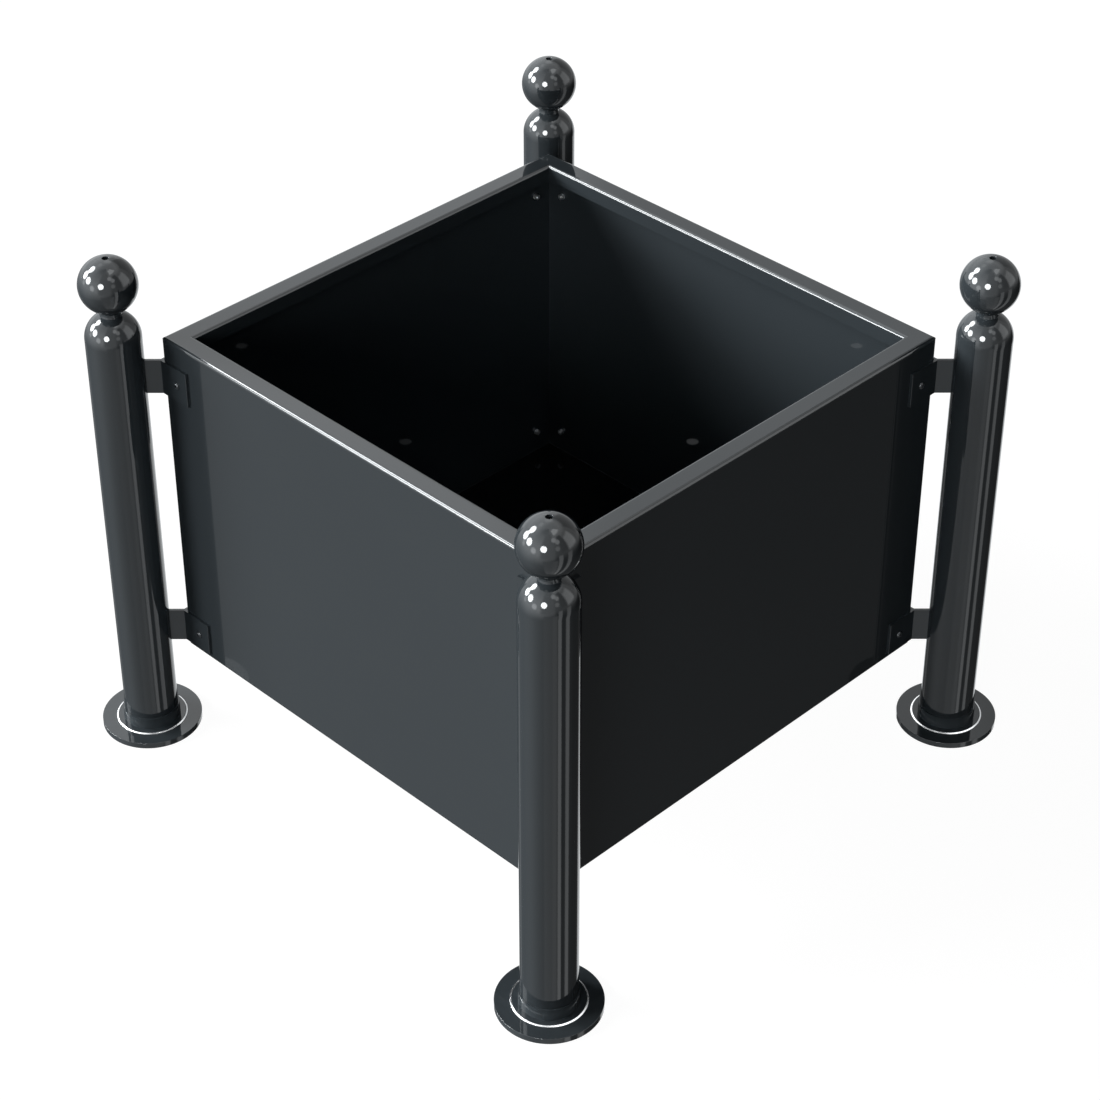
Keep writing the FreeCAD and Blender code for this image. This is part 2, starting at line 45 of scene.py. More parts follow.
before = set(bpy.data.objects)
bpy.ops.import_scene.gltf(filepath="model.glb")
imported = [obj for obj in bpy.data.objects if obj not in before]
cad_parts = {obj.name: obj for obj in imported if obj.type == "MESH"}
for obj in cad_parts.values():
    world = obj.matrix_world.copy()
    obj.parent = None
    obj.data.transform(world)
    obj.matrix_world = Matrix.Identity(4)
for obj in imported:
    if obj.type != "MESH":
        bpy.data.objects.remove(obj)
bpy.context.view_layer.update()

BODY = "root"
MM = 0.001
WELD_GAP = 0.0001 * MM
QUARTER_TURN = math.radians(90)
SHALLOW_ANGLE = math.radians(30)
UPRIGHT_LEAST = 0.99
HEX_SIDES = 6
CORNERS = ("back_right", "back_left", "front_left", "front_right")
SIDES = ("right", "back", "left", "front")
STOREYS = ("upper", "lower")

Colour = tuple[float, float, float]
Span = tuple[float, float]
Stops = Sequence[tuple[float, float]]
WHITE: Colour = (1.0, 1.0, 1.0)
BLACK: Colour = (0.0, 0.0, 0.0)


class Side(Enum):
    """Which end of an upright piece is worked on."""

    TOP = 1
    BOTTOM = -1


class Element(Enum):
    """What is selected in a mesh."""

    VERTICES = "VERT"
    EDGES = "EDGE"
    FACES = "FACE"


class Combine(Enum):
    """How one solid is combined with another."""

    CUT = "DIFFERENCE"
    KEEP_COMMON = "INTERSECT"
    FUSE = "UNION"


# Shader maths


class Link:
    """An output of a shader node, whose operators add the nodes that work them out."""

    def __init__(self, tree: "Tree", socket: bpy.types.NodeSocket) -> None:
        """Keep the socket and the tree that it belongs to."""
        self.tree = tree
        self.socket = socket

    def _math(self, operation: str, first: "Value", second: "Value" = 0.0) -> "Link":
        """Work out a Math node."""
        made = self.tree.node("ShaderNodeMath", {"operation": operation}, {0: first, 1: second})
        return self.tree.link(made, "Value")

    def __add__(self, other: "Value") -> "Link":
        """Sum with another value."""
        return self._math("ADD", self, other)

    def __radd__(self, other: "Value") -> "Link":
        """Sum with a number on the left."""
        return self._math("ADD", other, self)

    def __sub__(self, other: "Value") -> "Link":
        """What is left after another value."""
        return self._math("SUBTRACT", self, other)

    def __rsub__(self, other: "Value") -> "Link":
        """What a number on the left has left."""
        return self._math("SUBTRACT", other, self)

    def __mul__(self, other: "Value") -> "Link":
        """Product with another value."""
        return self._math("MULTIPLY", self, other)

    def __pow__(self, other: "Value") -> "Link":
        """Power of the value."""
        return self._math("POWER", self, other)

    def __abs__(self) -> "Link":
        """The value without its sign."""
        return self._math("ABSOLUTE", self)

    def largest(self, other: "Value") -> "Link":
        """The larger of two values."""
        return self._math("MAXIMUM", self, other)

    def sine(self) -> "Link":
        """Sine of the value."""
        return self._math("SINE", self)

    def dot(self, other: "Value") -> "Link":
        """Dot product of two vectors."""
        made = self.tree.node("ShaderNodeVectorMath", {"operation": "DOT_PRODUCT"}, {0: self, 1: other})
        return self.tree.link(made, "Value")

    def times(self, other: "Value") -> "Link":
        """Product of two vectors, part by part."""
        made = self.tree.node("ShaderNodeVectorMath", {"operation": "MULTIPLY"}, {0: self, 1: other})
        return self.tree.link(made, "Vector")

    def unit(self) -> "Link":
        """A vector brought to length one."""
        made = self.tree.node("ShaderNodeVectorMath", {"operation": "NORMALIZE"}, {0: self})
        return self.tree.link(made, "Vector")

    def ease(self, low: float, high: float) -> "Link":
        """Ease from 0 at one level to 1 at another.

        Args:
            low: Value at which the result is 0.
            high: Value at which the result is 1. It may be the lower of the two.

        Returns:
            The eased value.
        """
        if low > high:
            return 1.0 - self.ease(high, low)
        settings = {"interpolation_type": "SMOOTHSTEP"}
        inputs = {"Value": self, "From Min": low, "From Max": high}
        return self.tree.link(self.tree.node("ShaderNodeMapRange", settings, inputs), "Result")


Value = Union[Link, float, int, Sequence[float]]


class Tree:
    """A node tree, with one way to add any node to it."""

    def __init__(self, nodes: bpy.types.NodeTree) -> None:
        """Start from an empty tree."""
        self.tree = nodes
        self.tree.nodes.clear()

    def node(
        self, kind: str, settings: Optional[dict] = None, inputs: Optional[dict] = None,
    ) -> bpy.types.Node:
        """Add a node.

        Args:
            kind: The node's type.
            settings: Properties of the node. A ramp's stops come under the key stops.
            inputs: Values or links of its sockets, by name or number.

        Returns:
            The new node.
        """
        made = self.tree.nodes.new(kind)
        for name, setting in (settings or {}).items():
            if name == "stops":
                self._set_stops(made.color_ramp, setting)
            else:
                setattr(made, name, setting)
        for key, value in (inputs or {}).items():
            self.feed(made.inputs[key], value)
        return made

    @staticmethod
    def _set_stops(ramp: bpy.types.ColorRamp, stops: Stops) -> None:
        """Give a ramp its grey stops.

        Args:
            ramp: The ramp.
            stops: A place and a level for each stop.
        """
        while len(ramp.elements) < len(stops):
            ramp.elements.new(1.0)
        for element, (place, level) in zip(ramp.elements, stops):
            element.position = place
            element.color = (level, level, level, 1.0)

    def feed(self, socket: bpy.types.NodeSocket, value: Value) -> None:
        """Give a socket its value or its link.

        Args:
            socket: The socket.
            value: A number, a vector, a colour or a link.
        """
        if isinstance(value, Link):
            self.tree.links.new(value.socket, socket)
        elif socket.type == "RGBA" and len(value) == len(WHITE):
            socket.default_value = (*value, 1.0)
        else:
            socket.default_value = value

    def link(self, node: bpy.types.Node, output: Union[str, int]) -> Link:
        """One output of a node, ready for maths."""
        return Link(self, node.outputs[output])

    def blend(self, share: Value, first: Value, second: Value) -> Link:
        """Blend two numbers.

        Args:
            share: Share of the second one.
            first: Number at 0.
            second: Number at 1.

        Returns:
            The blended number.
        """
        made = self.node("ShaderNodeMix", {"data_type": "FLOAT"}, {0: share, 2: first, 3: second})
        return self.link(made, 0)

    def blend_colour(self, share: Value, first: Value, second: Value) -> Link:
        """Blend two colours.

        Args:
            share: Share of the second one.
            first: Colour at 0.
            second: Colour at 1.

        Returns:
            The blended colour.
        """
        made = self.node("ShaderNodeMix", {"data_type": "RGBA"}, {0: share, 6: first, 7: second})
        return self.link(made, 2)

    def place(self) -> Link:
        """Place on the object in metres. In the world's tree it is the direction that is looked in."""
        return self.link(self.node("ShaderNodeTexCoord"), "Object")

    def parts(self, where: Link) -> tuple[Link, Link, Link]:
        """The three parts of a vector."""
        made = self.node("ShaderNodeSeparateXYZ", None, {"Vector": where})
        return self.link(made, "X"), self.link(made, "Y"), self.link(made, "Z")

    def noise(self, where: Link, scale: float, detail: float = 2.0) -> Link:
        """Cloudy noise from 0 to 1."""
        made = self.node("ShaderNodeTexNoise", None, {"Vector": where, "Scale": scale, "Detail": detail})
        return self.link(made, "Fac")

    def grains(self, where: Link, scale: float) -> Link:
        """A random level in each crystal-shaped grain.

        Args:
            where: Place on the object.
            scale: Grains in a metre.

        Returns:
            The level, from 0 to 1.
        """
        made = self.node("ShaderNodeTexVoronoi", {"feature": "F1"}, {"Vector": where, "Scale": scale})
        split = self.node("ShaderNodeSeparateColor", None, {"Color": self.link(made, "Color")})
        return self.link(split, "Red")

    def ramp(self, at: Link, stops: Stops) -> Link:
        """Read a level from a ramp of stops.

        Args:
            at: Place on the ramp, from 0 to 1.
            stops: A place and a level for each stop.

        Returns:
            The level there.
        """
        made = self.node("ShaderNodeValToRGB", {"stops": stops}, {"Fac": at})
        split = self.node("ShaderNodeSeparateColor", None, {"Color": self.link(made, "Color")})
        return self.link(split, "Red")

    def relief(self, height: Link) -> Link:
        """The normal of a surface with a relief, whose height is in metres."""
        made = self.node("ShaderNodeBump", None, {"Height": height, "Strength": 1.0, "Distance": 1.0})
        return self.link(made, "Normal")


def new_material(name: str) -> tuple[bpy.types.Material, Tree]:
    """Make an empty material.

    Args:
        name: The material's name.

    Returns:
        The material and its tree.
    """
    material = bpy.data.materials.new(name)
    material.use_nodes = True
    return material, Tree(material.node_tree)


def close_material(tree: Tree, surface: dict) -> None:
    """Close a material's tree with its surface shader.

    Args:
        tree: The material's tree.
        surface: Values or links of the shader's sockets.
    """
    shader = tree.node("ShaderNodeBsdfPrincipled", None, surface)
    tree.node("ShaderNodeOutputMaterial", None, {"Surface": tree.link(shader, "BSDF")})


# Finishes


@dataclass(frozen=True)
class GlossPaint:
    """Anthracite gloss paint, with fine orange peel, faint haze and a little dust."""

    name: str
    colour: Colour = (0.0395, 0.0482, 0.0545)
    index: float = 1.5
    roughness: float = 0.02
    haze: float = 0.015
    haze_span: Span = (0.35, 0.8)
    shade_scale: float = 3.0
    shade_span: Span = (0.3, 0.7)
    shade_share: float = 0.12
    shade_depth: float = 0.8
    peel_scale: float = 380.0
    peel_height: float = 0.0015 * MM
    wave_scale: float = 5.0
    wave_height: float = 0.04 * MM
    cloud_scale: float = 9.0
    cloud_detail: float = 4.0
    cloud_span: Span = (0.45, 0.75)
    speck_scale: float = 1100.0
    speck_span: Span = (0.55, 0.72)
    plain_detail: float = 1.0
    dust_colour: Colour = (0.11, 0.115, 0.12)
    dust_share: float = 0.1
    dust_roughness: float = 0.5

    def material(self) -> bpy.types.Material:
        """Build the paint.

        Returns:
            The finished material.
        """
        material, tree = new_material(self.name)
        where = tree.place()
        clouds = tree.noise(where, self.cloud_scale, self.cloud_detail)
        specks = tree.noise(where, self.speck_scale, self.plain_detail)
        dust = clouds.ease(*self.cloud_span) * specks.ease(*self.speck_span) * self.dust_share
        shade = tree.noise(where, self.shade_scale).ease(*self.shade_span)
        deeper = tuple(part * self.shade_depth for part in self.colour)
        paint = tree.blend_colour(shade * self.shade_share, self.colour, deeper)
        relief = tree.noise(where, self.peel_scale, self.plain_detail) * self.peel_height
        relief = relief + tree.noise(where, self.wave_scale, self.plain_detail) * self.wave_height
        haze = clouds.ease(*self.haze_span) * self.haze
        close_material(tree, {
            "Base Color": tree.blend_colour(dust, paint, self.dust_colour),
            "Roughness": self.roughness + haze + dust * self.dust_roughness,
            "Metallic": 0.0,
            "IOR": self.index,
            "Normal": tree.relief(relief),
        })
        return material


@dataclass(frozen=True)
class BoltFinish:
    """Black button heads on a zinc-plated thread, which shows inside the box."""

    name: str
    thread_from: float
    thread_blend: float = 0.1 * MM
    head_colour: Colour = (0.03, 0.034, 0.038)
    worn_colour: Colour = (0.09, 0.09, 0.09)
    thread_colour: Colour = (0.62, 0.63, 0.65)
    roughness: float = 0.28
    haze_scale: float = 700.0
    haze_detail: float = 3.0
    haze_roughness: float = 0.1
    haze_height: float = 0.006 * MM
    wear_span: Span = (0.62, 0.72)
    wear_share: float = 0.25

    def material(self) -> bpy.types.Material:
        """Build the finish.

        Returns:
            The finished material.
        """
        material, tree = new_material(self.name)
        where = tree.place()
        across, along, _ = tree.parts(where)
        outwards = abs(across).largest(abs(along))
        bare = outwards.ease(self.thread_from, self.thread_from - self.thread_blend)
        haze = tree.noise(where, self.haze_scale, self.haze_detail)
        wear = haze.ease(*self.wear_span) * self.wear_share
        head = tree.blend_colour(wear, self.head_colour, self.worn_colour)
        close_material(tree, {
            "Base Color": tree.blend_colour(bare, head, self.thread_colour),
            "Roughness": self.roughness + haze * self.haze_roughness,
            "Metallic": bare,
            "Normal": tree.relief(haze * self.haze_height),
        })
        return material


@dataclass(frozen=True)
class TurnedSteel:
    """Bright steel faced on a lathe, with fine grooves round each post's axis and paint along both edges."""

    name: str
    post_place: float
    colour: Colour = (0.86, 0.86, 0.865)
    stain: Colour = (0.74, 0.74, 0.75)
    paint: Colour = (0.0395, 0.0482, 0.0545)
    roughness: float = 0.18
    band_radius: float = 49.8 * MM
    band_width: float = 2.0 * MM
    band_blend: float = 0.1 * MM
    groove_pitch: float = 0.5 * MM
    groove_height: float = 0.002 * MM
    smear_scale: float = 160.0
    smear_detail: float = 3.0
    smear_span: Span = (0.4, 0.8)
    smear_share: float = 0.3
    smear_roughness: float = 0.06

    def material(self) -> bpy.types.Material:
        """Build the steel.

        Returns:
            The finished material.
        """
        material, tree = new_material(self.name)
        where = tree.place()
        across, along, _ = tree.parts(where)
        across = abs(across) - self.post_place
        along = abs(along) - self.post_place
        radius = (across * across + along * along) ** 0.5
        grooves = (radius * (math.tau / self.groove_pitch)).sine() * self.groove_height
        smear = tree.noise(where, self.smear_scale, self.smear_detail)
        edge = self.band_width / 2
        bare = abs(radius - self.band_radius).ease(edge + self.band_blend, edge - self.band_blend)
        steel = tree.blend_colour(smear.ease(*self.smear_span) * self.smear_share, self.colour, self.stain)
        close_material(tree, {
            "Base Color": tree.blend_colour(bare, self.paint, steel),
            "Roughness": self.roughness + smear * self.smear_roughness,
            "Metallic": bare,
            "Normal": tree.relief(grooves),
        })
        return material


@dataclass(frozen=True)
class Zinc:
    """Zinc on steel, with spangle of a given grain size and a dull haze."""

    name: str
    colour: Colour = (0.66, 0.67, 0.69)
    shade: Colour = (0.44, 0.45, 0.48)
    roughness: float = 0.26
    grain_scale: float = 900.0
    grain_share: float = 0.5
    grain_roughness: float = 0.12
    grain_height: float = 0.001 * MM
    grains_per_cloud: float = 10.0
    haze_detail: float = 4.0
    haze_span: Span = (0.4, 0.8)
    haze_share: float = 0.4
    haze_roughness: float = 0.1
    haze_height: float = 0.01 * MM

    def material(self) -> bpy.types.Material:
        """Build the zinc.

        Returns:
            The finished material.
        """
        material, tree = new_material(self.name)
        where = tree.place()
        grain = tree.grains(where, self.grain_scale)
        haze = tree.noise(where, self.grain_scale / self.grains_per_cloud, self.haze_detail)
        share = grain * self.grain_share + haze.ease(*self.haze_span) * self.haze_share
        close_material(tree, {
            "Base Color": tree.blend_colour(share, self.colour, self.shade),
            "Roughness": self.roughness + grain * self.grain_roughness + haze * self.haze_roughness,
            "Metallic": 1.0,
            "Normal": tree.relief(haze * self.haze_height + grain * self.grain_height),
        })
        return material


# Modelling


def deselect_all() -> None:
    """Leave nothing selected."""
    for item in bpy.context.selected_objects:
        item.select_set(False)


def make_active(item: bpy.types.Object) -> None:
    """Select one object alone and make it the active one.

    Args:
        item: The object.
    """
    deselect_all()
    item.select_set(True)
    bpy.context.view_layer.objects.active = item


Chooser = Callable[[bmesh.types.BMesh], Iterable]


def open_mesh(item: bpy.types.Object, choose: Chooser, kind: Element) -> None:
    """Open a mesh for editing with some of its elements selected.

    Args:
        item: The object to edit.
        choose: Picks the elements to select.
        kind: What they are.
    """
    make_active(item)
    bpy.ops.object.mode_set(mode="EDIT")
    bpy.ops.mesh.select_mode(type=kind.value)
    bpy.ops.mesh.select_all(action="DESELECT")
    mesh = bmesh.from_edit_mesh(item.data)
    for element in choose(mesh):
        element.select_set(True)
    mesh.select_flush_mode()
    bmesh.update_edit_mesh(item.data)


def close_mesh() -> None:
    """Go back to object mode."""
    bpy.ops.object.mode_set(mode="OBJECT")


def end_faces(side: Side) -> Chooser:
    """Picks the faces that look straight up or straight down."""
    return lambda mesh: [face for face in mesh.faces if face.normal.z * side.value > UPRIGHT_LEAST]


def end_edges(side: Side) -> Chooser:
    """Picks the edges round the flat top or bottom."""
    return lambda mesh: [edge for face in end_faces(side)(mesh) for edge in face.edges]


def everything(mesh: bmesh.types.BMesh) -> Iterable:
    """Picks every face."""
    return mesh.faces


def corner_radius(width: float) -> float:
    """Distance from a hexagon's middle to a corner, from its width across the flats."""
    return width / math.sqrt(3)


def add_prism(
    name: str, radius: float, low: float, high: float, corners: int, turn: float = 0.0,
) -> bpy.types.Object:
    """Add an upright prism or round bar on the Z axis.

    Args:
        name: The object's name.
        radius: Distance from the axis to a corner.
        low: Level of its bottom.
        high: Level of its top.
        corners: Number of corners.
        turn: Angle that it is turned by about the axis.

    Returns:
        The new object.
    """
    deselect_all()
    middle = (0.0, 0.0, (low + high) / 2)
    bpy.ops.mesh.primitive_cylinder_add(
        vertices=corners, radius=radius, depth=high - low, location=middle, rotation=(0.0, 0.0, turn))
    made = bpy.context.object
    made.name = name
    bpy.ops.object.transform_apply(location=True, rotation=True, scale=True)
    return made


def bevel_ends(item: bpy.types.Object, width: float) -> None:
    """Bevel the rims of both flat ends of a piece.

    Args:
        item: The piece.
        width: Width of the bevel.
    """
    for side in Side:
        open_mesh(item, end_edges(side), Element.EDGES)
        bpy.ops.mesh.bevel(offset=width, segments=1, affect="EDGES")
        close_mesh()


def combine(item: bpy.types.Object, tool: bpy.types.Object, how: Combine) -> None:
    """Combine one solid with another.

    Args:
        item: The solid that is changed.
        tool: The other solid. It is used up.
        how: How they are combined.
    """
    make_active(item)
    modifier = item.modifiers.new("combine", "BOOLEAN")
    modifier.operation = how.value
    modifier.solver = "EXACT"
    modifier.object = tool
    bpy.ops.object.modifier_apply(modifier=modifier.name)
    bpy.data.objects.remove(tool)


def face_outwards(item: bpy.types.Object) -> None:
    """Merge a mesh's doubles and turn its faces outwards.

    Args:
        item: The object to mend.
    """
    open_mesh(item, everything, Element.FACES)
    bpy.ops.mesh.remove_doubles(threshold=WELD_GAP)
    bpy.ops.mesh.select_all(action="SELECT")
    bpy.ops.mesh.normals_make_consistent(inside=False)
    close_mesh()


def copy_to(item: bpy.types.Object, places: Sequence[Matrix], name: str) -> bpy.types.Object:
    """Put a copy of a piece at each place, each with its own mesh, and join the copies.

    Args:
        item: The piece, modelled at the origin. It is used up.
        places: Where the copies go.
        name: Name of the joined piece.

    Returns:
        The joined piece.
    """
    copies = []
    for place in places:
        copy = item.copy()
        copy.data = item.data.copy()
        copy.data.transform(place)
        bpy.context.scene.collection.objects.link(copy)
        copies.append(copy)
    bpy.data.objects.remove(item)
    make_active(copies[0])
    for copy in copies:
        copy.select_set(True)
    bpy.ops.object.join()
    copies[0].name = name
    return copies[0]


def smooth_shallow_edges(item: bpy.types.Object) -> None:
    """Shade a mesh smooth across its shallow edges and leave the others sharp."""
    make_active(item)
    bpy.ops.object.shade_smooth_by_angle(angle=SHALLOW_ANGLE)


# The planter


@dataclass
class Assembly:
    """A sub-assembly, whose CAD nodes are dressed by name."""

    title: str

    def dress(self, nodes: Iterable[str], material: bpy.types.Material) -> None:
        """Give CAD nodes their material.

        Args:
            nodes: Names of the nodes.
            material: The material.
        """
        for name in nodes:
            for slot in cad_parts[name].material_slots:
                slot.material = material
            log.info("%s: %s has %s", self.title, name, material.name)

    def declare(self, piece: bpy.types.Object, node: str, slot: str, material: bpy.types.Material) -> None:
        """Finish a new piece and let it stand for its CAD node.

        Args:
            piece: The new piece.
            node: The CAD node that it stands for.
            slot: Not used.
            material: Its material.
        """
        smooth_shallow_edges(piece)
        piece.data.materials.clear()
        piece.data.materials.append(material)
        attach(piece, BODY)
        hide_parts(node)
        log.info("%s: %s stands for %s, %d faces", self.title, piece.name, node, len(piece.data.polygons))


@dataclass
class Box(Assembly):
    """The sheet steel box: four folded panels, the floor sheet and the channels under it."""

    title: str = "box"
    panel_paint: GlossPaint = GlossPaint("panel_gloss_anthracite", wave_height=0.02 * MM)
    # The floor sheet's paint is a darker copy of the panels' anthracite: painted shade for the shade inside
    # the box.
    floor_paint: GlossPaint = GlossPaint("floor_painted_shade_anthracite", colour=(0.012, 0.014, 0.016))
    channel_zinc: Zinc = Zinc("channel_galvanised", grain_scale=120.0)

    def build(self) -> None:
        """Dress the box."""
        self.dress((f"panel_{side}" for side in SIDES), self.panel_paint.material())
        self.dress(("floor_sheet",), self.floor_paint.material())
        self.dress(("floor_channel_front", "floor_channel_back"), self.channel_zinc.material())


@dataclass
class Posts(Assembly):
    """Four posts, each with its foot, bright ring, tube, cap, stud and ball."""

    title: str = "posts"
    tube_paint: GlossPaint = GlossPaint("post_gloss_anthracite", wave_height=0.0)
    cap_paint: GlossPaint = GlossPaint("cap_gloss_anthracite", wave_height=0.0)
    ball_paint: GlossPaint = GlossPaint("ball_gloss_anthracite", wave_height=0.0, roughness=0.035)
    # The feet's paint is a lighter copy of the anthracite: painted light on the feet.
    foot_paint: GlossPaint = GlossPaint(
        "foot_painted_light_anthracite", colour=(0.053, 0.064, 0.072), wave_height=0.0, dust_share=0.2)
    stud_zinc: Zinc = Zinc("stud_plain_steel")

    def build(self) -> None:
        """Dress the posts."""
        low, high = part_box(f"post_{CORNERS[0]}")
        ring_steel = TurnedSteel("ring_turned_steel", post_place=(low.x + high.x) / 2)
        self.dress((f"post_{corner}" for corner in CORNERS), self.tube_paint.material())
        self.dress((f"post_cap_{corner}" for corner in CORNERS), self.cap_paint.material())
        self.dress((f"ball_finial_{corner}" for corner in CORNERS), self.ball_paint.material())
        self.dress((f"foot_{corner}" for corner in CORNERS), self.foot_paint.material())
        self.dress((f"foot_ring_{corner}" for corner in CORNERS), ring_steel.material())
        self.dress(("finial_studs",), self.stud_zinc.material())


@dataclass
class Brackets(Assembly):
    """The corner angles and the tabs that join them to the posts."""

    title: str = "brackets"
    angle_paint: GlossPaint = GlossPaint(
        "bracket_gloss_anthracite", wave_height=0.0, peel_height=0.002 * MM)
    tab_paint: GlossPaint = GlossPaint("tab_gloss_anthracite", wave_height=0.0, peel_height=0.002 * MM)

    def build(self) -> None:
        """Dress the brackets and the tabs."""
        names = [f"{storey}_{corner}" for storey in STOREYS for corner in CORNERS]
        self.dress((f"bracket_{name}" for name in names), self.angle_paint.material())
        self.dress((f"tab_{name}" for name in names), self.tab_paint.material())


@dataclass
class Bolts(Assembly):
    """Sixteen button-head bolts with a key socket, a domed head and a cut thread."""

    title: str = "bolts"
    radius: float = 2.47 * MM
    length: float = 12.0 * MM
    corners: int = 32
    head_radius: float = 4.75 * MM
    head_height: float = 2.75 * MM
    disc_depth: float = 0.001 * MM
    flat_radius: float = 2.23 * MM
    dome_steps: int = 8
    neck_share: float = 1 / 3
    key_width: float = 3.0 * MM
    key_depth: float = 1.6 * MM
    key_tip: float = 0.5 * MM
    pitch: float = 0.8 * MM
    thread_depth: float = 0.49 * MM
    crest_share: float = 0.125
    root_share: float = 0.25
    crest_overrun: float = 0.05 * MM
    end_overrun: float = 0.3 * MM
    turns_below: int = 2
    turns_above: int = 2
    tip_chamfer: float = 0.5 * MM
    thread_top: float = -3.0 * MM
    zinc_top: float = -2.5 * MM
    corner_inset: float = 30.0 * MM

    def build(self) -> None:
        """Model one bolt and put it in its sixteen holes."""
        bolt = self.head()
        combine(bolt, self.shank(), Combine.FUSE)
        combine(bolt, self.key(), Combine.CUT)
        face_outwards(bolt)
        _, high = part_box("bracket_bolts")
        seat = high.x - self.head_height
        finish = BoltFinish("bolt_black_head_zinc_thread", thread_from=seat + self.zinc_top)
        piece = copy_to(bolt, self.places(seat), "button_bolts")
        self.declare(piece, "bracket_bolts", "bolt_black", finish.material())

    def places(self, distance: float) -> list[Matrix]:
        """Every bolt's place, with its axis pointing out of the box.

        Args:
            distance: How far its origin lies from the middle of the box.

        Returns:
            One matrix per bolt.
        """
        _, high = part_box("panel_right")
        along = high.x - self.corner_inset
        outwards = Matrix.Rotation(QUARTER_TURN, 4, "Y")
        made = []
        for quarter in range(len(SIDES)):
            turn = Matrix.Rotation(QUARTER_TURN * quarter, 4, "Z")
            for storey in STOREYS:
                low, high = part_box(f"bracket_{storey}_{CORNERS[0]}")
                level = (low.z + high.z) / 2
                for side in (along, -along):
                    made.append(turn @ Matrix.Translation((distance, side, level)) @ outwards)
        return made

    def head(self) -> bpy.types.Object:
        """The domed head: a disc whose top is extruded and drawn in along an arc.

        Returns:
            The head, with its seat at the origin.
        """
        spread = self.head_radius - self.flat_radius
        dome = (spread * spread + self.head_height * self.head_height) / (self.head_height * 2)
        sweep = math.acos((dome - self.head_height) / dome)
        arc = [sweep * step / self.dome_steps for step in range(self.dome_steps + 1)]
        rings = [(self.flat_radius + dome * math.sin(angle), self.head_height - dome * (1 - math.cos(angle)))
                 for angle in reversed(arc)]
        rings[0] = (self.head_radius, 0.0)
        made = add_prism("bolt", self.head_radius, -self.disc_depth, 0.0, self.corners)
        for (before, below), (after, above) in zip(rings, rings[1:]):
            open_mesh(made, end_faces(Side.TOP), Element.FACES)
            bpy.ops.mesh.extrude_region_move(TRANSFORM_OT_translate={"value": (0.0, 0.0, above - below)})
            bpy.ops.transform.resize(value=(after / before, after / before, 1.0))
            close_mesh()
        return made

    def key(self) -> bpy.types.Object:
        """What the key socket takes out of the head.

        Returns:
            A six-sided prism with a drilled tip.
        """
        floor = self.head_height - self.key_depth
        top = self.head_height + self.key_tip
        made = add_prism("key", corner_radius(self.key_width), floor, top, HEX_SIDES)
        open_mesh(made, end_faces(Side.BOTTOM), Element.FACES)
        bpy.ops.mesh.inset(thickness=self.key_tip / 2)
        bpy.ops.transform.translate(value=(0.0, 0.0, -self.key_tip / 2))
        close_mesh()
        return made

    def shank(self) -> bpy.types.Object:
        """The shank: a plain neck under the head, then the thread, with a bevelled tip.

        Returns:
            The shank, pointing down from the head's seat.
        """
        middle = self.radius - self.thread_depth / 2
        neck = add_prism(
            "neck", middle, self.thread_top - self.pitch, self.head_height * self.neck_share, self.corners)
        blank = add_prism("blank", self.radius, -self.length, self.thread_top, self.corners)
        bevel_ends(blank, self.tip_chamfer)
        thread = self.thread()
        combine(thread, blank, Combine.KEEP_COMMON)
        combine(neck, thread, Combine.FUSE)
        return neck

    def thread(self) -> bpy.types.Object:
        """The thread: one pitch of its profile, screwed round the axis and cut off square.

        Returns:
            The thread, a little past both ends of its stretch.
        """
        root = self.radius - self.thread_depth
        crest = self.radius + self.crest_overrun
        flank = (1 - self.crest_share - self.root_share) / 2
        crest_from = self.root_share + flank
        profile = ((root, 0.0), (root, self.root_share * self.pitch), (crest, crest_from * self.pitch),
                   (crest, (crest_from + self.crest_share) * self.pitch), (root, self.pitch))
        turns = math.ceil((self.length + self.thread_top) / self.pitch) + self.turns_below + self.turns_above
        bottom = -self.length - self.pitch * self.turns_below
        deselect_all()
        bpy.ops.mesh.primitive_plane_add(size=self.pitch)
        made = bpy.context.object
        made.name = "thread"
        open_mesh(made, everything, Element.VERTICES)
        bpy.ops.mesh.merge(type="CENTER")
        bpy.ops.transform.translate(value=(root, 0.0, bottom))
        for first, second in zip(profile, profile[1:]):
            step = (second[0] - first[0], 0.0, second[1] - first[1])
            bpy.ops.mesh.extrude_vertices_move(TRANSFORM_OT_translate={"value": step})
        close_mesh()
        screw = made.modifiers.new("thread", "SCREW")
        screw.screw_offset = self.pitch
        screw.iterations = turns
        screw.steps = self.corners
        screw.render_steps = self.corners
        screw.use_merge_vertices = False
        make_active(made)
        bpy.ops.object.modifier_apply(modifier=screw.name)
        face_outwards(made)
        ends = {Side.BOTTOM: -self.length - self.end_overrun, Side.TOP: self.thread_top + self.end_overrun}
        for side, level in ends.items():
            open_mesh(made, everything, Element.FACES)
            bpy.ops.mesh.bisect(
                plane_co=(0.0, 0.0, level), plane_no=(0.0, 0.0, 1.0), use_fill=True, threshold=WELD_GAP,
                clear_inner=side is Side.BOTTOM, clear_outer=side is Side.TOP)
            close_mesh()
        face_outwards(made)
        return made


